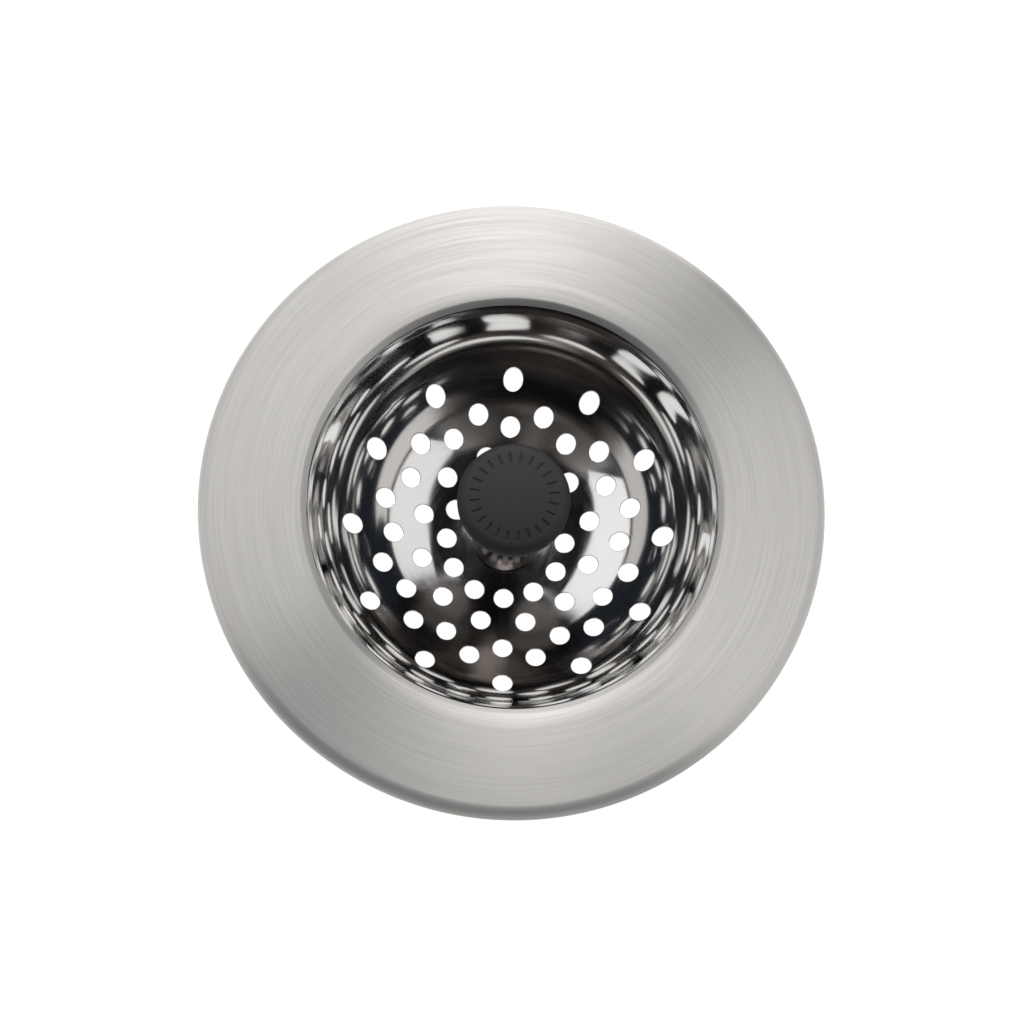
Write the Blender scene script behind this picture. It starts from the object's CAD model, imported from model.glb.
import math

import bpy
import numpy as np
from mathutils import Matrix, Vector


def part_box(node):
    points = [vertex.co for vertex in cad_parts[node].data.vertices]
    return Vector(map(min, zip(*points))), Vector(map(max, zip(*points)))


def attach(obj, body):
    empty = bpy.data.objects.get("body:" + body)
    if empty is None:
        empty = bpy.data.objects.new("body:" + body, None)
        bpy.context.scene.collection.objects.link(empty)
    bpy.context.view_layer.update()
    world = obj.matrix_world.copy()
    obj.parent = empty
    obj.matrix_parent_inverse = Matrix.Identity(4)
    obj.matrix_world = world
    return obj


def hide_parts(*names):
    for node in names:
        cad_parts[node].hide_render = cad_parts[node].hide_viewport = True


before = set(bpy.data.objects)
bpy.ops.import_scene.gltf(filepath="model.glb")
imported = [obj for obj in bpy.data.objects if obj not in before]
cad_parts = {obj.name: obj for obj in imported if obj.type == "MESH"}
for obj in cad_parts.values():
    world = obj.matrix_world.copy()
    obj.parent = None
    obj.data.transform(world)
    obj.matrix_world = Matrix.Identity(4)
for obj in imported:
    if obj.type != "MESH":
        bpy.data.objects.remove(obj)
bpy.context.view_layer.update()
print("frame loaded:", sorted(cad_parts))

mm = 0.001  # all shapes below are in millimetres, and a mesh is made in metres


# Outlines are lists of (radius, height). A heading of 0 runs outwards, and 90 runs up.
# A straight length adds its own cosine and sine.
def addLine(path, heading, length):
    r, z = path[-1]
    angle = math.radians(heading)
    path.append((r + length * math.cos(angle), z + length * math.sin(angle)))


# a straight length that ends at the given height
def addLineTo(path, heading, height):
    addLine(path, heading, (height - path[-1][1]) / math.sin(math.radians(heading)))


# the radius and height of a bend follow the sine and cosine of the heading as it turns
def addBend(path, bendR, heading, newHeading, steps):
    r, z = path[-1]
    side = 1.0 if newHeading > heading else -1.0
    start = math.radians(heading)
    angle = start + math.radians(newHeading - heading) * np.arange(1, steps + 1) / steps
    across = side * bendR * (np.sin(angle) - math.sin(start))
    up = side * bendR * (math.cos(start) - np.cos(angle))
    path.extend(zip(r + across, z + up))


# a bend whose radius is worked out from the radius that it has to end at
def addBendTo(path, endR, heading, newHeading, steps):
    spread = math.sin(math.radians(newHeading)) - math.sin(math.radians(heading))
    addBend(path, abs((endR - path[-1][0]) / spread), heading, newHeading, steps)


# each point moves square to the path, on its lower side, and a corner is mitred
def offsetBelow(path, distance):
    line = np.array(path)
    step = np.diff(line, axis=0)
    heading = np.arctan2(step[:, 1], step[:, 0])
    before = np.concatenate([heading[:1], heading])
    after = np.concatenate([heading, heading[-1:]])
    middle = 0.5 * (before + after)
    reach = distance / np.cos(0.5 * (after - before))
    return line + np.stack([reach * np.sin(middle), -reach * np.cos(middle)], axis=1)


# rounds the corners of an outline: each one is cut back by the same length and replaced by a parabola
def eased(corners, cut, steps=3):
    line = np.array(corners, float)
    before, corner, after = line[:-2], line[1:-1], line[2:]
    toBefore = before - corner
    toAfter = after - corner
    lengths = [np.linalg.norm(v, axis=1, keepdims=True) for v in (toBefore, toAfter)]
    reach = [np.minimum(cut, 0.45 * length) / length for length in lengths]
    start = corner + toBefore * reach[0]
    end = corner + toAfter * reach[1]
    t = np.linspace(0.0, 1.0, steps + 1)[None, :, None]
    bends = (1 - t) ** 2 * start[:, None] + 2 * t * (1 - t) * corner[:, None] + t**2 * end[:, None]
    return np.concatenate([line[:1], bends.reshape(-1, 2), line[-1:]])


# points are added so that no step along the path is longer than the given one
def divided(path, longest):
    line = np.array(path, float)
    step = np.linalg.norm(np.diff(line, axis=0), axis=1)
    place = np.concatenate([[0.0], np.cumsum(step)])
    counts = np.maximum(1, np.ceil(step / longest).astype(int))
    at = [np.linspace(place[i], place[i + 1], counts[i], endpoint=False) for i in range(len(counts))]
    at = np.concatenate(at + [place[-1:]])
    return np.stack([np.interp(at, place, line[:, 0]), np.interp(at, place, line[:, 1])], axis=1)


# a turned surface: the path's radius and height, carried round Z in even steps.
# The normal is the path's direction turned a quarter turn, so that a path which runs out
# along the top, down the outer edge and back underneath faces outwards.
def turned(path, sides):
    line = np.array(path, float)
    along = np.gradient(line, axis=0)
    along /= np.maximum(np.linalg.norm(along, axis=1, keepdims=True), 1e-9)
    angle = 2 * np.pi * np.arange(sides + 1) / sides
    around = np.stack([np.cos(angle), np.sin(angle)], axis=1)
    points = np.empty((len(line), sides + 1, 3))
    points[..., :2] = line[:, None, :1] * around
    points[..., 2] = line[:, None, 1]
    normals = np.empty_like(points)
    normals[..., :2] = -along[:, None, 1:] * around
    normals[..., 2] = along[:, :1]
    return points, normals


# joins patches into one closed skin: points at the same place become one, and a quad that
# has lost a side becomes a triangle. Each patch is (points, normals, material number).
def joined(patches):
    points, normals, quads, marks = [], [], [], []
    first = 0
    for grid, grain, mark in patches:
        rows, columns = grid.shape[-3:-1]
        grids = grid.reshape(-1, rows, columns, 3)
        ids = first + np.arange(grids.shape[0] * rows * columns).reshape(-1, rows, columns)
        corners = (ids[:, :-1, :-1], ids[:, 1:, :-1], ids[:, 1:, 1:], ids[:, :-1, 1:])
        quad = np.stack(corners, axis=-1).reshape(-1, 4)
        points.append(grids.reshape(-1, 3))
        normals.append(grain.reshape(-1, 3))
        quads.append(quad)
        marks.append(np.full(len(quad), mark))
        first += len(points[-1])
    points, normals = np.concatenate(points), np.concatenate(normals)
    quads, marks = np.concatenate(quads), np.concatenate(marks)
    # the odd shift keeps round numbers away from the edges of the 0.0001 mm boxes
    boxes = np.floor(points * 1e4 + 0.137).astype(np.int64)
    keys, chosen, number = np.unique(boxes, axis=0, return_index=True, return_inverse=True)
    number = number.reshape(-1)
    summed = np.zeros((len(keys), 3))
    np.add.at(summed, number, normals)
    quads = number[quads]
    same = quads == np.roll(quads, -1, axis=1)
    whole = ~same.any(axis=1)
    lost = np.where(~whole & (same.sum(axis=1) == 1))[0]
    keep = (same[lost].argmax(axis=1)[:, None] + np.array([1, 2, 3])) % 4
    triangles = np.take_along_axis(quads[lost], keep, axis=1)
    faces = quads[whole].tolist() + triangles.tolist()
    return points[chosen], summed, faces, np.concatenate([marks[whole], marks[lost]])


# one mesh object in its place: it rides on the body, and takes the place of CAD nodes
def makePiece(name, patches, materials, slot, *nodes, ownNormals=False):
    points, normals, faces, marks = joined(patches)
    data = bpy.data.meshes.new(name)
    data.from_pydata((points * mm).tolist(), [], faces)
    for material in materials:
        data.materials.append(material)
    data.polygons.foreach_set("material_index", marks.astype(np.int32))
    data.shade_smooth()
    if ownNormals:
        normals /= np.maximum(np.linalg.norm(normals, axis=1, keepdims=True), 1e-9)
        data.normals_split_custom_set_from_vertices(normals.tolist())
    item = bpy.data.objects.new(name, data)
    bpy.context.scene.collection.objects.link(item)
    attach(item, "root")
    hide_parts(*nodes)
    print(name, "has", len(faces), "faces")
    return item


# an sRGB hex colour as linear light: a straight foot below 0.04045 and a power of 2.4 above
def linear(code):
    parts = np.array([int(code[i : i + 2], 16) for i in (1, 3, 5)]) / 255.0
    parts = np.where(parts <= 0.04045, parts / 12.92, ((parts + 0.055) / 1.055) ** 2.4)
    return (*parts.tolist(), 1.0)


# adds a node, sets its properties and input values, and links its inputs to other nodes' outputs
def addNode(tree, kind, values=None, links=None, **settings):
    node = tree.nodes.new(kind)
    for key, value in settings.items():
        setattr(node, key, value)
    for key, value in (values or {}).items():
        node.inputs[key].default_value = value
    for key, source in (links or {}).items():
        tree.links.new(source, node.inputs[key])
    return node


# a new material, its node tree and its shader with the given values on the sockets
def newMaterial(name, values):
    material = bpy.data.materials.new(name)
    material.use_nodes = True
    tree = material.node_tree
    shader = tree.nodes["Principled BSDF"]
    for key, value in values.items():
        shader.inputs[key].default_value = value
    return material, tree, shader


# noise drawn out along circles about Z: its vector is the outward direction, scaled so that one
# unit is one streak length round the given circle, plus the radius in streak widths along Z
def circleGrain(tree, middleR, width, length, detail=3.0):
    place = addNode(tree, "ShaderNodeTexCoord").outputs["Object"]
    level = {1: (1.0, 1.0, 0.0)}
    flat = addNode(tree, "ShaderNodeVectorMath", level, {0: place}, operation="MULTIPLY").outputs[0]
    radius = addNode(tree, "ShaderNodeVectorMath", links={0: flat}, operation="LENGTH")
    around = addNode(tree, "ShaderNodeVectorMath", links={0: flat}, operation="NORMALIZE")
    size, links = {1: 1.0 / (width * mm)}, {0: radius.outputs["Value"]}
    outwards = addNode(tree, "ShaderNodeMath", size, links, operation="MULTIPLY")
    size, links = {"Scale": middleR / length}, {0: around.outputs[0]}
    turn = addNode(tree, "ShaderNodeVectorMath", size, links, operation="SCALE")
    lift = addNode(tree, "ShaderNodeCombineXYZ", links={"Z": outwards.outputs[0]})
    links = {0: turn.outputs[0], 1: lift.outputs[0]}
    grain = addNode(tree, "ShaderNodeVectorMath", links=links, operation="ADD")
    values = {"Scale": 1.0, "Detail": detail, "Roughness": 0.6}
    noise = addNode(tree, "ShaderNodeTexNoise", values, {"Vector": grain.outputs[0]})
    return noise.outputs["Fac"]


# Stainless steel sheet, brushed in circles on a turning fixture. The grain runs round the
# rim, so a light spreads into a fan across it, with fine streaks at the same radius. The
# real grain is about 0.05 mm, too fine to show, so it is drawn 0.25 mm wide.
brushed = {
    "middleR": 48.0,
    "light": "#dad7d3",
    "dark": "#cdcac6",
    "roughness": 0.46,
    "roughnessSpread": 0.03,
    "anisotropy": 0.94,
    "streakWidth": 0.25,
    "streakLength": 26.0,
    "streakDepth": 0.012,
    "bump": 0.3,
}


def brushedSteel():
    b = brushed
    values = {"Metallic": 1.0, "Anisotropic": b["anisotropy"], "Anisotropic Rotation": 0.25}
    material, tree, shader = newMaterial("stainlessSteelBrushedInCircles", values)
    streaks = circleGrain(tree, b["middleR"], b["streakWidth"], b["streakLength"])
    colour = addNode(tree, "ShaderNodeValToRGB", links={"Fac": streaks})
    ramp = colour.color_ramp.elements
    ramp[0].position, ramp[0].color = 0.3, linear(b["dark"])
    ramp[1].position, ramp[1].color = 0.7, linear(b["light"])
    middle, spread = b["roughness"], b["roughnessSpread"]
    limits = {"From Min": 0.3, "From Max": 0.7, "To Min": middle + spread, "To Max": middle - spread}
    rough = addNode(tree, "ShaderNodeMapRange", limits, {"Value": streaks})
    depth = {"Strength": b["bump"], "Distance": b["streakDepth"] * mm}
    bump = addNode(tree, "ShaderNodeBump", depth, {"Height": streaks})
    tangent = addNode(tree, "ShaderNodeTangent", direction_type="RADIAL", axis="Z")
    tree.links.new(colour.outputs["Color"], shader.inputs["Base Color"])
    tree.links.new(rough.outputs[0], shader.inputs["Roughness"])
    tree.links.new(bump.outputs[0], shader.inputs["Normal"])
    tree.links.new(tangent.outputs[0], shader.inputs["Tangent"])
    return material


# The same sheet, pressed into the bowl and buffed to a mirror on a wheel as it turned. It
# mirrors the room in dark and bright bands, drawn out along circles by the buffing marks,
# and slightly uneven where the sheet was stretched. Real marks are about 0.02 mm, too fine
# to show, so they are drawn 0.5 mm wide. The roll's finish, left on the underside, and a
# darker satin, as on the knob's rod, are the same grain with a duller gloss.
polished = {
    "middleR": 24.0,
    "colour": "#d2d0ce",
    "roughness": 0.08,
    "markWidth": 0.5,
    "markLength": 9.0,
    "markDepth": 0.002,
    "waveLength": 9.0,
    "waveDepth": 0.012,
}


def polishedSteel(name, colour, rough):
    p = polished
    values = {"Base Color": linear(colour), "Metallic": 1.0}
    material, tree, shader = newMaterial(name, values)
    marks = circleGrain(tree, p["middleR"], p["markWidth"], p["markLength"], 4.0)
    place = addNode(tree, "ShaderNodeTexCoord").outputs["Object"]
    values = {"Scale": 1.0 / (p["waveLength"] * mm), "Detail": 1.0}
    waves = addNode(tree, "ShaderNodeTexNoise", values, {"Vector": place}).outputs["Fac"]
    depth = {"Strength": 1.0, "Distance": p["waveDepth"] * mm}
    uneven = addNode(tree, "ShaderNodeBump", depth, {"Height": waves}).outputs[0]
    depth = {"Strength": 1.0, "Distance": p["markDepth"] * mm}
    bump = addNode(tree, "ShaderNodeBump", depth, {"Height": marks, "Normal": uneven})
    limits = {"From Min": 0.3, "From Max": 0.7, "To Min": 0.7 * rough, "To Max": 1.3 * rough}
    gloss = addNode(tree, "ShaderNodeMapRange", limits, {"Value": marks})
    tree.links.new(gloss.outputs[0], shader.inputs["Roughness"])
    tree.links.new(bump.outputs[0], shader.inputs["Normal"])
    return material


# Thermoplastic rubber, moulded with a fine spark-eroded grain: almost black, with a soft
# wide sheen and no clear reflection. The real grain is about 0.05 mm, drawn coarser to show.
rubber = {"colour": "#29292a", "roughness": 0.62, "grainWidth": 0.25, "grainDepth": 0.02}


def softRubber():
    values = {"Base Color": linear(rubber["colour"]), "Roughness": rubber["roughness"], "IOR": 1.5}
    material, tree, shader = newMaterial("softTouchRubberMoulded", values)
    place = addNode(tree, "ShaderNodeTexCoord").outputs["Object"]
    values = {"Scale": 1.0 / (rubber["grainWidth"] * mm), "Detail": 2.0}
    grain = addNode(tree, "ShaderNodeTexNoise", values, {"Vector": place}).outputs["Fac"]
    depth = {"Strength": 0.2, "Distance": rubber["grainDepth"] * mm}
    bump = addNode(tree, "ShaderNodeBump", depth, {"Height": grain})
    tree.links.new(bump.outputs[0], shader.inputs["Normal"])
    return material


strainer = {
    "sheet": 0.6,
    "baseFlatR": 6.9,
    "bowlBendR": 29.06,
    "wallSlope": 82.0,
    "wallTopZ": 31.4,
    "neckSlope": 66.6,
    "mouthZ": 33.6,
    "lipSlope": 45.0,
    "lipLength": 1.3,
    "lipBendR": 0.7,
    "crownSlope": 12.0,
    "crownEndR": 41.5,
    "crownEndSlope": -2.0,
    "rollStartR": 54.7,
    "rollStartSlope": -7.0,
    "edgeZ": 30.9,
    "edgeRound": 0.12,
    "ledgeBendR": 0.25,
    "ledgeSlope": 48.0,
    "bossHoleR": 1.9,
    "bossFlatR": 3.6,
    "bossHeight": 3.0,
    "bossSlope": 75.0,
    "bossBendR": 0.7,
    "holeR": 1.83,
    "holesPerRing": 12,
    "holeRings": ((11.26, 0), (16.41, 1), (21.50, 0), (24.07, 1), (29.20, 0)),  # radius, half turned
    "cellEdges": ((8.4, 0.0), (13.85, 0.7), (18.95, -0.7), (22.8, 1.0), (26.6, -0.8), (32.0, 0.0)),
    "sides": 216,
    "topStep": 2.0,
    "underStep": 2.5,
    "underColour": "#c9c6c2",
    "underRoughness": 0.28,
}


# the heights of the bowl's two faces: circles about the same centre, one sheet apart
def bowlHeight(r, below):
    s = strainer
    bend = s["bowlBendR"] + below
    reach = np.maximum(r - s["baseFlatR"], 0.0)
    return s["sheet"] + s["bowlBendR"] - np.sqrt(bend**2 - reach**2)


# the slope's sine is the distance out from the start of the bend over the bend's radius
def bowlSlope(r, below):
    reach = np.maximum(r - strainer["baseFlatR"], 0.0)
    return np.degrees(np.arcsin(reach / (strainer["bowlBendR"] + below)))


# the wall and the rim, on the upper face, from the end of the bowl's bend
def wallPath(rimR, withLedge):
    s = strainer
    slope = math.radians(s["wallSlope"])
    startR = s["baseFlatR"] + s["bowlBendR"] * math.sin(slope)
    startZ = s["sheet"] + s["bowlBendR"] * (1.0 - math.cos(slope))
    path = [(startR, startZ)]
    addLineTo(path, s["wallSlope"], s["wallTopZ"])
    if withLedge:  # the fine ledge that the press die leaves round the top of the wall
        addBend(path, s["ledgeBendR"], s["wallSlope"], s["ledgeSlope"], 4)
        addBend(path, s["ledgeBendR"], s["ledgeSlope"], s["neckSlope"], 4)
    addLineTo(path, s["neckSlope"], s["mouthZ"])
    addLine(path, s["lipSlope"], s["lipLength"])
    addBend(path, s["lipBendR"], s["lipSlope"], s["crownSlope"], 8)
    addBendTo(path, s["crownEndR"], s["crownSlope"], s["crownEndSlope"], 10)
    addBendTo(path, s["rollStartR"], s["crownEndSlope"], s["rollStartSlope"], 10)
    addBendTo(path, rimR, s["rollStartSlope"], -90.0, 16)
    addLineTo(path, -90.0, s["edgeZ"] + s["edgeRound"])
    return path


# the raised boss in the middle of the base, on the upper face, from its hole outwards
def bossPath():
    s = strainer
    top = s["sheet"] + s["bossHeight"]
    path = [(s["bossHoleR"], top), (s["bossFlatR"], top)]
    rise = s["bossBendR"] * (1.0 - math.cos(math.radians(s["bossSlope"])))
    addBend(path, s["bossBendR"], 0.0, -s["bossSlope"], 6)
    addLineTo(path, -s["bossSlope"], s["sheet"] + rise)
    addBend(path, s["bossBendR"], -s["bossSlope"], 0.0, 6)
    path.append((s["baseFlatR"], s["sheet"]))
    return path


# one punched hole and the skin around it, on both faces. Seen from above, each point lies
# between a circle, the hole, and the edge of a cell four-sided about it; the cells' inner and
# outer edges are waves with one crest per hole, so that they fit the half-turned rings.
def punchedCells():
    s = strainer
    perRing = s["holesPerRing"]
    half = math.pi / perRing
    across, upright = s["sides"] // perRing, 8  # steps along a cell's waves and its straight sides
    sweep = np.linspace(-half, half, across + 1)
    rise = np.linspace(0.0, 1.0, upright + 1)
    ease = s["edgeRound"]
    spread = np.array([1.0, 0.72, 0.5, 0.32, 0.18, 0.08, 0.0])  # from the cell's edge to the hole
    turn = np.radians([90.0, 60.0, 30.0, 0.0])  # over the hole's rounded edge
    cells = []
    for ring, (ringR, turnedHalf) in enumerate(s["holeRings"]):
        edges = []
        for middle, wave in s["cellEdges"][ring : ring + 2]:
            edges.append((middle, wave * (-1.0 if turnedHalf else 1.0)))
        inner = edges[0][0] + edges[0][1] * np.cos(perRing * sweep)
        outer = edges[1][0] + edges[1][1] * np.cos(perRing * sweep)
        angle = np.concatenate(
            [sweep[:-1], np.full(upright, half), sweep[:0:-1], np.full(upright, -half), sweep[:1]]
        )
        radius = np.concatenate(
            [
                outer[:-1],
                (outer[-1] + (inner[-1] - outer[-1]) * rise)[:-1],
                inner[:0:-1],
                (inner[0] + (outer[0] - inner[0]) * rise)[:-1],
                outer[:1],
            ]
        )
        rim = np.stack([radius * np.cos(angle), radius * np.sin(angle)], axis=1)
        away = rim - (ringR, 0.0)
        seen = np.arctan2(away[:, 1], away[:, 0])
        ray = np.stack([np.cos(seen), np.sin(seen)], axis=1)
        edge = (ringR, 0.0) + (s["holeR"] + ease) * ray
        plan = edge + (rim - edge) * spread[:, None, None]
        bent = (ringR, 0.0) + (s["holeR"] + ease * (1.0 - np.cos(turn[1:, None, None]))) * ray
        plan = np.concatenate([plan, bent])
        drop = np.concatenate([np.zeros(len(spread)), ease * (1.0 - np.sin(turn[1:]))])
        faces = []
        for below in (s["sheet"], 0.0):
            r = np.linalg.norm(plan, axis=2)
            up = 1.0 if below == 0.0 else -1.0
            z = bowlHeight(r, below) - up * drop[:, None]
            slope = np.radians(bowlSlope(r, below))
            normal = np.empty((*r.shape, 3))
            normal[..., :2] = -np.sin(slope)[..., None] * plan / r[..., None] * up
            normal[..., 2] = np.cos(slope) * up
            # on the hole's rounded edge the normal is square to the steps along and across it,
            # and on the hole's wall it faces the hole's middle
            grid = np.concatenate([plan, z[..., None]], axis=2)
            lip = slice(len(spread), len(plan) - 1)
            along = grid[len(spread) + 1 :] - grid[len(spread) - 1 : -2]
            around = np.roll(grid[lip], -1, axis=1) - np.roll(grid[lip], 1, axis=1)
            square = -up * np.cross(along, around)
            normal[lip] = square / np.linalg.norm(square, axis=2, keepdims=True)
            normal[-1, :, :2], normal[-1, :, 2] = -ray, 0.0
            faces.append((grid, normal))
        under, top = faces
        grid = np.concatenate([under[0], top[0][::-1]])
        normal = np.concatenate([under[1], top[1][::-1]])
        turns = 2.0 * half * (np.arange(perRing) + 0.5 * turnedHalf)
        cells.append((spun(grid, turns), spun(normal, turns)))
    return cells


# copies of a grid of points, turned about Z by each of the angles
def spun(grid, turns):
    c, s = np.cos(turns)[:, None, None], np.sin(turns)[:, None, None]
    x, y = grid[None, ..., 0], grid[None, ..., 1]
    z = np.broadcast_to(grid[None, ..., 2], (len(turns), *grid.shape[:2]))
    return np.stack([c * x - s * y, s * x + c * y, z], axis=-1)


# the whole pressing in one closed skin: the two turned parts and the rings of punched cells
def makeStrainer():
    s = strainer
    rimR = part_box("strainer_body")[1].x / mm
    rim, bowl, underside = 0, 1, 2
    startR, endR = s["cellEdges"][0][0], s["cellEdges"][-1][0]
    lowBendR = s["bowlBendR"] + s["sheet"]

    # outside the holes: up the bowl's wall, over the rim, round its cut edge and back below
    path = [(endR, bowlHeight(endR, 0.0))]
    addBend(path, s["bowlBendR"], bowlSlope(endR, 0.0), s["wallSlope"], 4)
    topPath = divided(path[:-1] + wallPath(rimR, True), s["topStep"])
    path = [(endR, bowlHeight(endR, s["sheet"]))]
    addBend(path, lowBendR, bowlSlope(endR, s["sheet"]), s["wallSlope"], 4)
    plain = offsetBelow(wallPath(rimR, False), s["sheet"])
    underPath = divided(np.concatenate([path[:-1], plain]), s["underStep"])
    edge = [tuple(topPath[-1])]
    addBend(edge, s["edgeRound"], -90.0, -180.0, 3)
    addLine(edge, -180.0, s["sheet"] - 2.0 * s["edgeRound"])
    addBend(edge, s["edgeRound"], -180.0, -270.0, 3)
    whole = np.concatenate([topPath, edge[1:-1], underPath[::-1]])
    mouthRow = int(np.argmax(topPath[:, 1] > s["mouthZ"] - 0.001))
    underRow = len(topPath) + len(edge) - 2
    points, normals = turned(whole, s["sides"])
    patches = [
        (points[: mouthRow + 1], normals[: mouthRow + 1], bowl),
        (points[mouthRow : underRow + 1], normals[mouthRow : underRow + 1], rim),
        (points[underRow:], normals[underRow:], underside),
    ]

    # inside the holes: below the base, up through the boss's hole and out along its top
    top = bossPath()
    under = offsetBelow(top, s["sheet"])
    topPath = list(map(tuple, top))
    addBend(topPath, s["bowlBendR"], 0.0, bowlSlope(startR, 0.0), 2)
    underPath = list(map(tuple, under))
    addBend(underPath, lowBendR, 0.0, bowlSlope(startR, s["sheet"]), 2)
    points, normals = turned(np.concatenate([underPath[::-1], topPath]), s["sides"])
    rows = len(underPath)
    patches.append((points[:rows], normals[:rows], underside))
    patches.append((points[rows - 1 :], normals[rows - 1 :], bowl))

    for points, normals in punchedCells():
        rows = points.shape[1] // 2
        patches.append((points[:, :rows], normals[:, :rows], underside))
        patches.append((points[:, rows - 1 :], normals[:, rows - 1 :], bowl))
    materials = [
        brushedSteel(),
        polishedSteel("stainlessSteelBuffed", polished["colour"], polished["roughness"]),
        polishedSteel("stainlessSteelAsRolled", s["underColour"], s["underRoughness"]),
    ]
    slot, node = "stainless_sheet", "strainer_body"
    return makePiece("punchedBowlAndRim", patches, materials, slot, node, ownNormals=True)


knob = {
    "slots": 24,
    "slotMiddleR": 7.2,
    "slotLength": 1.9,
    "slotWidth": 0.55,
    "slotDepth": 0.24,
    "slotEdge": 0.14,
    "underSlope": 15.0,
    "underLength": 2.4,
    "sideHeight": 0.9,
    "shoulderR": 2.2,
    "shoulderSlope": 10.0,
    "gap": 0.3,
    "neckStep": 0.1,
    "discHeight": 3.6,
    "hollowRound": 0.2,
    "domeRows": 40,
    "sides": 720,
}


# the grip's outline, from the top's middle over the shoulder and underneath to the hollow
def gripPath():
    k = knob
    low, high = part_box("knob_grip")
    coreHigh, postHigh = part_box("knob_core")[1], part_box("knob_post")[1]
    gripR, topZ, lipZ = high.x / mm, high.z / mm, low.z / mm
    neckR = postHigh.x / mm - k["neckStep"] + k["gap"]
    discR = coreHigh.x / mm + k["gap"]
    discTop = coreHigh.z / mm + k["gap"]
    discLow = discTop - k["discHeight"]
    under = [(neckR, lipZ)]
    addLine(under, k["underSlope"], k["underLength"])
    addBendTo(under, gripR, k["underSlope"], 90.0, 12)
    addLine(under, 90.0, k["sideHeight"])
    addBend(under, k["shoulderR"], 90.0, 180.0 - k["shoulderSlope"], 12)
    shoulderR, shoulderZ = under[-1]
    part = np.linspace(1.0, 0.0, k["domeRows"] + 1)[1:]
    dome = np.stack([shoulderR * part, topZ - (topZ - shoulderZ) * part**2], axis=1)
    outside = np.concatenate([under, dome])[::-1]
    hollow = [(neckR, discLow), (discR, discLow), (discR, discTop), (0.0, discTop)]
    inside = eased([tuple(outside[-1])] + hollow, k["hollowRound"])
    return np.concatenate([outside, inside[1:]])


# the turned grip, with a ring of plain slots sunk into its top: a slot's depth at a point
# falls off, in a smooth step, with the distance to the slot's own middle line
def makeGrip():
    k = knob
    points, normals = turned(gripPath(), k["sides"])
    pitch = 2 * np.pi / k["slots"]
    top = points[: k["domeRows"] + 1]
    r = np.linalg.norm(top[..., :2], axis=2)
    angle = np.arctan2(top[..., 1], top[..., 0])
    aside = r * np.sin(angle % pitch - 0.5 * pitch)
    straight = k["slotLength"] - k["slotWidth"]
    beyond = np.maximum(np.abs(r - k["slotMiddleR"]) - 0.5 * straight, 0.0)
    inwards = 0.5 * k["slotWidth"] - np.hypot(aside, beyond)
    t = np.clip(inwards / k["slotEdge"], 0.0, 1.0)
    top[..., 2] -= k["slotDepth"] * t * t * (3.0 - 2.0 * t)
    return makePiece("softGrip", [(points, normals, 0)], [softRubber()], "soft_grip", "knob_grip")


post = {
    "boreR": 1.9,
    "stemR": 3.8,
    "footEdge": 0.3,
    "flareSlope": 113.0,
    "flareTopZ": 4.6,
    "recessR": 5.1,
    "recessTopR": 4.4,
    "recessTopZ": 3.9,
    "edge": 0.15,
    "longestStep": 3.0,
    "sides": 160,
    "colour": "#5a5552",
    "roughness": 0.25,
}


# a turned rod: up the flared foot and the stem, over the top, down the bore and the recess,
# and then the other way round, because a path that runs down the outside faces outwards
def makePost():
    p = post
    low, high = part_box("knob_post")
    footR, bottom, top = high.x / mm, low.z / mm, high.z / mm
    path = [(p["recessR"], bottom), (footR, bottom)]
    addLine(path, 90.0, p["footEdge"])
    addLineTo(path, p["flareSlope"], p["flareTopZ"])
    addBendTo(path, p["stemR"], p["flareSlope"], 90.0, 24)
    corners = [(p["stemR"], top), (p["boreR"], top), (p["boreR"], p["recessTopZ"])]
    path += corners + [(p["recessTopR"], p["recessTopZ"]), path[0]]
    path = divided(eased(path, p["edge"])[::-1], p["longestStep"])
    points, normals = turned(path, p["sides"])
    steel = polishedSteel("stainlessRodDarkSatin", p["colour"], p["roughness"])
    return makePiece("knobPost", [(points, normals, 0)], [steel], "polished_stainless", "knob_post")


core = {
    "neckR": 5.9,
    "neckHeight": 1.5,
    "socketR": 2.9,
    "socketRoof": 1.0,
    "fillet": 0.25,
    "longestStep": 1.5,
    "sides": 192,
    "colour": "#3b3c3f",
    "roughness": (0.36, 0.48),
    "flowWidth": 2.5,
}


# ABS, injection moulded: charcoal grey, an even satin with faint flow marks 2.5 mm across.
def mouldedPlastic():
    values = {"Base Color": linear(core["colour"]), "IOR": 1.53}
    material, tree, shader = newMaterial("absInjectionMoulded", values)
    place = addNode(tree, "ShaderNodeTexCoord").outputs["Object"]
    values = {"Scale": 1.0 / (core["flowWidth"] * mm), "Detail": 3.0}
    flow = addNode(tree, "ShaderNodeTexNoise", values, {"Vector": place}).outputs["Fac"]
    low, high = core["roughness"]
    limits = {"From Min": 0.3, "From Max": 0.7, "To Min": low, "To Max": high}
    gloss = addNode(tree, "ShaderNodeMapRange", limits, {"Value": flow})
    depth = {"Strength": 0.5, "Distance": 0.01 * mm}
    bump = addNode(tree, "ShaderNodeBump", depth, {"Height": flow})
    tree.links.new(gloss.outputs[0], shader.inputs["Roughness"])
    tree.links.new(bump.outputs[0], shader.inputs["Normal"])
    return material


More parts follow.
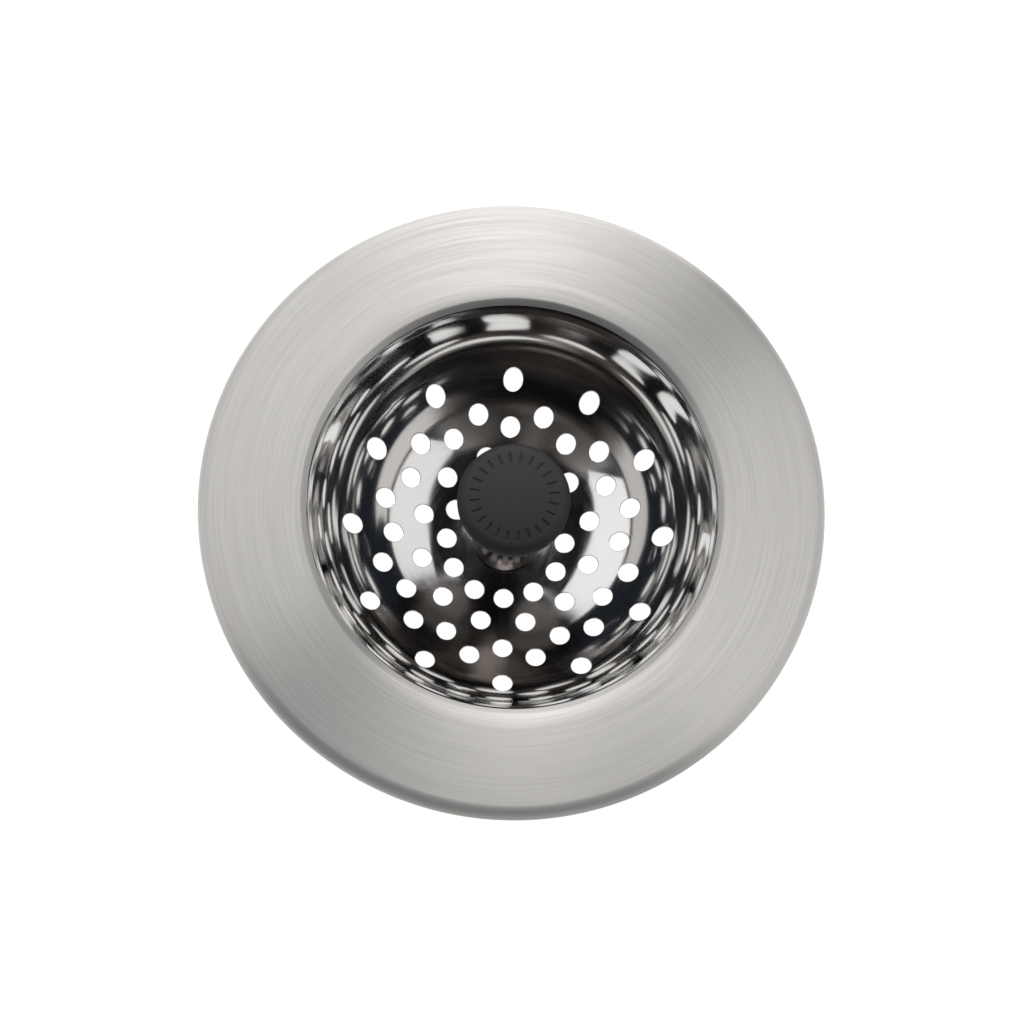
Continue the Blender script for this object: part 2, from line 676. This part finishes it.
# a turned moulding: the disc that the grip is moulded over, its neck and the insert's socket
def makeCore():
    c = core
    low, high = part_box("knob_core")
    discR, bottom, top = high.x / mm, low.z / mm, high.z / mm
    step, socketTop = bottom + c["neckHeight"], top - c["socketRoof"]
    corners = [(0.0, top), (discR, top), (discR, step), (c["neckR"], step), (c["neckR"], bottom)]
    corners += [(c["socketR"], bottom), (c["socketR"], socketTop), (0.0, socketTop)]
    path = divided(eased(corners, c["fillet"], 4), c["longestStep"])
    points, normals = turned(path, c["sides"])
    plastic = mouldedPlastic()
    return makePiece("knobCore", [(points, normals, 0)], [plastic], "rigid_plastic", "knob_core")


# Brass bar, turned and knurled: yellow metal with fine turning marks and bright knurl crests.
# The other metals of the fixings are made the same way, with their own colours.
def turnedMetal(name, colours, roughness, markWidth):
    material, tree, shader = newMaterial(name, {"Metallic": 1.0})
    place = addNode(tree, "ShaderNodeTexCoord").outputs["Object"]
    size = 1.0 / (markWidth * mm)
    values = {"Scale": (0.2 * size, 0.2 * size, size)}  # five times as long as they are wide
    pull = addNode(tree, "ShaderNodeMapping", values, {"Vector": place}).outputs[0]
    values = {"Scale": 1.0, "Detail": 3.0}
    marks = addNode(tree, "ShaderNodeTexNoise", values, {"Vector": pull}).outputs["Fac"]
    colour = addNode(tree, "ShaderNodeValToRGB", links={"Fac": marks})
    ramp = colour.color_ramp.elements
    ramp[0].position, ramp[0].color = 0.3, linear(colours[0])
    ramp[1].position, ramp[1].color = 0.7, linear(colours[1])
    limits = {"From Min": 0.3, "From Max": 0.7, "To Min": 0.8 * roughness, "To Max": 1.2 * roughness}
    gloss = addNode(tree, "ShaderNodeMapRange", limits, {"Value": marks})
    depth = {"Strength": 0.4, "Distance": 0.01 * mm}
    bump = addNode(tree, "ShaderNodeBump", depth, {"Height": marks})
    tree.links.new(colour.outputs["Color"], shader.inputs["Base Color"])
    tree.links.new(gloss.outputs[0], shader.inputs["Roughness"])
    tree.links.new(bump.outputs[0], shader.inputs["Normal"])
    return material


insert = {
    "boreR": 1.8,
    "threadDepth": 0.2,
    "threadPitch": 0.5,
    "knurls": 28,
    "knurlDepth": 0.16,
    "knurlTwist": 0.35,
    "grooveDepth": 0.3,
    "grooveWidth": 0.5,
    "runOut": 0.3,
    "chamfer": 0.15,
    "rowStep": 0.08,
    "sides": 224,
    "colours": ("#b98f4a", "#d8b36c"),
    "roughness": 0.28,
    "markWidth": 0.15,
}


# the height of a screw thread at each point, from 0 at its root to 1 at its crest: a ridge in
# the fraction of a turn that the height, in pitches, is ahead of the angle
def threadAt(z, angle, pitch):
    part = (z / pitch - angle / (2.0 * np.pi)) % 1.0
    return np.clip(1.3 * (1.0 - np.abs(2.0 * part - 1.0)), 0.0, 1.0)


# a knurled sleeve: the outline is turned, then the outer wall is cut in by two bands of
# slanting knurls with a plain groove between, and the bore's wall carries a thread
def makeInsert():
    i = insert
    low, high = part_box("threaded_insert")
    outR, bottom, top = high.x / mm, low.z / mm, high.z / mm
    height, middle = top - bottom, 0.5 * (top + bottom)
    boreR = i["boreR"]
    corners = [(boreR, bottom), (boreR, top), (outR, top), (outR, bottom), (boreR, bottom)]
    path = divided(eased(corners, i["chamfer"]), i["rowStep"])
    points, normals = turned(path, i["sides"])
    angle = 2.0 * np.pi * np.arange(i["sides"] + 1)[None, :] / i["sides"]
    r, z = path[:, :1], path[:, 1:]
    fromMiddle = z - middle
    ends = np.clip((0.5 * height - np.abs(fromMiddle)) / i["runOut"], 0.0, 1.0)
    turn = i["knurls"] * (angle + i["knurlTwist"] * np.abs(fromMiddle))
    knurl = i["knurlDepth"] * (0.5 - 0.5 * np.cos(turn))
    inGroove = np.clip((0.5 * i["grooveWidth"] - np.abs(fromMiddle)) / 0.1, 0.0, 1.0)
    outside = ends * (knurl * (1.0 - inGroove) + i["grooveDepth"] * inGroove)
    thread = threadAt(z, angle, i["threadPitch"]) * i["threadDepth"] * ends
    near = 0.02
    cut = np.where(r > outR - near, outside, 0.0) + np.where(r < boreR + near, thread, 0.0)
    points[..., :2] *= ((r - cut) / r)[..., None]
    points[:, -1] = points[:, 0]
    brass = turnedMetal("brassTurnedAndKnurled", i["colours"], i["roughness"], i["markWidth"])
    patches = [(points, normals, 0)]
    return makePiece("threadedInsert", patches, [brass], "insert_brass", "threaded_insert")


screw = {
    "headR": 2.85,
    "headHeight": 1.65,
    "rimHeight": 0.25,
    "socketAcross": 2.0,
    "socketDepth": 1.0,
    "socketCone": 0.25,
    "socketLip": 0.08,
    "edge": 0.05,
    "fillet": 0.2,
    "shankStart": 0.3,
    "threadR": 1.5,
    "threadDepth": 0.27,
    "threadPitch": 0.5,
    "tipChamfer": 0.3,
    "shankRows": 560,
    "sides": 96,
    "colours": ("#a9a8a6", "#c9c8c5"),
    "roughness": 0.25,
    "markWidth": 0.2,
}


# a button-head screw, upside down: its six-sided socket, domed head, and a threaded shank.
# Six-sided rows have a radius of half the width over the cosine of the angle from the middle
# of a flat; the shank's radius drops from crest to root with the thread.
def makeScrew():
    w = screw
    low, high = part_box("fixing_screw")
    bottom, top = low.z / mm, high.z / mm
    angle = 2.0 * np.pi * np.arange(w["sides"] + 1) / w["sides"]
    six = 0.5 * w["socketAcross"] / np.cos(angle % (np.pi / 3.0) - np.pi / 6.0)
    mouthR = 0.5 * w["socketAcross"] / math.cos(math.pi / 6.0) + w["socketLip"]
    deep = bottom + w["socketDepth"]
    one = np.ones_like(angle)
    headTop = bottom + w["headHeight"]
    headR, threadR, edge, fillet = w["headR"], w["threadR"], w["edge"], w["fillet"]
    rows = [
        (0.0 * one, deep + w["socketCone"]),
        (0.97 * six, deep),
        (six, deep - 0.04),
        (six, bottom + 0.1),
        (0.5 * (six + mouthR), bottom + 0.03),
        (mouthR * one, bottom),
    ]
    part = np.linspace(0.0, 0.5 * np.pi, 15)[1:]
    dome = mouthR + (headR - mouthR) * np.sin(part)
    domeZ = bottom + (w["headHeight"] - w["rimHeight"]) * (1.0 - np.cos(part))
    rows += [(r * one, z) for r, z in zip(dome, domeZ)]
    rows += [(headR * one, headTop - edge), ((headR - edge) * one, headTop)]
    rows += [((threadR + fillet) * one, headTop), ((threadR + 0.3 * fillet) * one, headTop + edge)]
    rows += [(threadR * one, headTop + fillet)]
    shankZ = np.linspace(headTop + w["shankStart"], top - w["tipChamfer"], w["shankRows"])
    starts = np.clip(shankZ - shankZ[0], 0.0, 1.0)[:, None]  # the thread deepens over 1 mm
    crest = threadAt(shankZ[:, None], angle[None, :], w["threadPitch"])
    shank = threadR - w["threadDepth"] * starts * (1.0 - crest)
    tip = np.stack([(threadR - w["tipChamfer"]) * one, 0.0 * one])
    radius = np.concatenate([[row[0] for row in rows], shank, tip])
    height = np.array([row[1] for row in rows] + [*shankZ, top, top])
    grid = np.empty((*radius.shape, 3))
    grid[..., 0] = radius * np.cos(angle)
    grid[..., 1] = radius * np.sin(angle)
    grid[..., 2] = height[:, None]
    grid[:, -1] = grid[:, 0]
    grid = grid[::-1]
    steel = turnedMetal("stainlessSteelRolledThread", w["colours"], w["roughness"], w["markWidth"])
    patches = [(grid, np.zeros_like(grid), 0)]
    return makePiece("fixingScrew", patches, [steel], "screw_steel", "fixing_screw")


washers = {
    "seatBoreR": 5.2,
    "flatBoreR": 1.8,
    "stampedEdge": 0.12,
    "rubberEdge": 0.15,
    "longestStep": 0.5,
    "sides": 144,
    "bloomColours": ("#161617", "#232425"),
    "bloomWidth": 0.6,
    "stampedColours": ("#b4b3b0", "#cbcac7"),
}


# Silicone rubber, moulded: black, an even soft satin with a faint dusty bloom 0.6 mm across.
def sealRubber():
    values = {"Roughness": 0.55, "IOR": 1.43}
    material, tree, shader = newMaterial("siliconeRubberMoulded", values)
    place = addNode(tree, "ShaderNodeTexCoord").outputs["Object"]
    values = {"Scale": 1.0 / (washers["bloomWidth"] * mm), "Detail": 4.0}
    bloom = addNode(tree, "ShaderNodeTexNoise", values, {"Vector": place}).outputs["Fac"]
    colour = addNode(tree, "ShaderNodeValToRGB", links={"Fac": bloom})
    ramp = colour.color_ramp.elements
    dark, light = washers["bloomColours"]
    ramp[0].position, ramp[0].color = 0.35, linear(dark)
    ramp[1].position, ramp[1].color = 0.75, linear(light)
    depth = {"Strength": 0.3, "Distance": 0.02 * mm}
    bump = addNode(tree, "ShaderNodeBump", depth, {"Height": bloom})
    tree.links.new(colour.outputs["Color"], shader.inputs["Base Color"])
    tree.links.new(bump.outputs[0], shader.inputs["Normal"])
    return material


# a flat ring with rounded edges, its outline turned about Z
def makeRing(name, node, innerR, edge, material, slot):
    low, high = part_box(node)
    outR, bottom, top = high.x / mm, low.z / mm, high.z / mm
    corners = [(innerR, bottom), (innerR, top), (outR, top), (outR, bottom)]
    middle = (0.5 * (innerR + outR), bottom)
    path = divided(eased([middle, *corners, middle], edge, 4), washers["longestStep"])
    points, normals = turned(path, washers["sides"])
    return makePiece(name, [(points, normals, 0)], [material], slot, node)


makeStrainer()
makeGrip()
makePost()
makeCore()
makeInsert()
makeScrew()
boreR, edge = washers["seatBoreR"], washers["rubberEdge"]
makeRing("seatWasher", "seat_washer", boreR, edge, sealRubber(), "seal_rubber")
stamped = turnedMetal("stainlessSteelStamped", washers["stampedColours"], 0.3, 0.3)
boreR, edge = washers["flatBoreR"], washers["stampedEdge"]
makeRing("flatWasher", "flat_washer", boreR, edge, stamped, "screw_steel")

view = {
    "azimuth": -9.2,
    "elevation": 77.72,
    "roll": 11.44,
    "distance": 600.0,
    "lens": 115.85,
    "aim": (0.09, 0.90, 31.5),  # mm right and up of the view's middle, and the aim's height
}


# the camera looks back along a line set by the azimuth and elevation, then rolls about it
def makeCamera():
    aim = view["aim"]
    a, e, roll = (math.radians(view[key]) for key in ("azimuth", "elevation", "roll"))
    back = np.array([math.sin(a) * math.cos(e), -math.cos(a) * math.cos(e), math.sin(e)])
    flatRight = np.array([math.cos(a), math.sin(a), 0.0])
    flatUp = np.cross(back, flatRight)
    right = math.cos(roll) * flatRight + math.sin(roll) * flatUp
    up = math.cos(roll) * flatUp - math.sin(roll) * flatRight
    place = np.array([0.0, 0.0, aim[2]]) + view["distance"] * back - aim[0] * right - aim[1] * up
    data = bpy.data.cameras.new("camera")
    data.lens = view["lens"]
    data.sensor_width = 36.0
    data.clip_start, data.clip_end = 0.05, 50.0
    camera = bpy.data.objects.new("camera", data)
    turn = np.eye(4)
    turn[:3, 0], turn[:3, 1], turn[:3, 2], turn[:3, 3] = right, up, back, place * mm
    camera.matrix_world = Matrix(turn.tolist())
    bpy.context.scene.collection.objects.link(camera)
    bpy.context.scene.camera = camera
    print("camera placed")


makeCamera()

# a plain pale light table, 3 m in radius, just below the strainer, and a dim cool room
studio = {
    "floorR": 3.0,
    "floorDrop": 0.0005,
    "floorSides": 96,
    "floorColour": "#404040",
    "floorGlow": 1.0,
    "roomColour": "#b4c8e6",
    "room": 0.05,
}

# each light: the way it faces from, anticlockwise from the view's right, its tilt from
# straight above, how far off it stands, its width and height in metres, and its brightness
panels = {
    "leftSoftbox": (168.0, 51.0, 0.9, 1.3, 0.63, 1.25),
    "rightSoftbox": (12.0, 51.0, 0.9, 1.3, 0.63, 1.1),
    "topPanel": (97.0, 13.0, 0.9, 0.42, 0.18, 1.9),
    "backPanel": (99.0, 24.0, 0.9, 0.24, 0.2, 6.0),
    "backStrip": (98.0, 40.0, 0.9, 0.22, 0.5, 1.8),
    "lowStrip": (97.0, 68.0, 0.9, 0.9, 0.2, 4.5),
}


# a soft panel at a distance, facing the strainer: turn is measured from the view's right,
# anticlockwise seen from above, and tilt from straight above
def addPanel(name, turn, tilt, distance, width, height, brightness):
    t, p = math.radians(turn + view["azimuth"]), math.radians(tilt)
    data = bpy.data.lights.new(name, "AREA")
    data.shape = "RECTANGLE"
    data.size, data.size_y = width, height
    data.energy = brightness * math.pi * width * height
    light = bpy.data.objects.new(name, data)
    away = np.array([math.sin(p) * math.cos(t), math.sin(p) * math.sin(t), math.cos(p)])
    side = np.array([-math.sin(t), math.cos(t), 0.0])
    turnTo = np.eye(4)
    turnTo[:3, 0], turnTo[:3, 1] = side, np.cross(away, side)
    turnTo[:3, 2], turnTo[:3, 3] = away, away * distance + (0.0, 0.0, 0.03)
    light.matrix_world = Matrix(turnTo.tolist())
    bpy.context.scene.collection.objects.link(light)
    return light


# the floor is one flat disc that glows an even white, and the panels light the steel
def makeStudio():
    s = studio
    data = bpy.data.meshes.new("floor")
    sides = s["floorSides"]
    angle = np.linspace(0.0, 2.0 * np.pi, sides, endpoint=False)
    ring = np.stack([np.cos(angle), np.sin(angle), np.zeros(sides)], axis=1) * s["floorR"]
    data.from_pydata(ring.tolist(), [], [list(range(sides))])
    floor = bpy.data.objects.new("floor", data)
    floor.location.z = -s["floorDrop"]
    bpy.context.scene.collection.objects.link(floor)
    white = {
        "Base Color": linear(s["floorColour"]),
        "Emission Color": linear("#ffffff"),
        "Emission Strength": s["floorGlow"],
    }
    data.materials.append(newMaterial("whiteLightTable", white)[0])
    world = bpy.data.worlds.new("studio")
    world.use_nodes = True
    background = world.node_tree.nodes["Background"]
    background.inputs["Color"].default_value = linear(s["roomColour"])
    background.inputs["Strength"].default_value = s["room"]
    bpy.context.scene.world = world
    for name, values in panels.items():
        addPanel(name, *values)
    bpy.context.scene.view_settings.view_transform = "Standard"
    print("floor, room and", len(panels), "lights placed")


makeStudio()
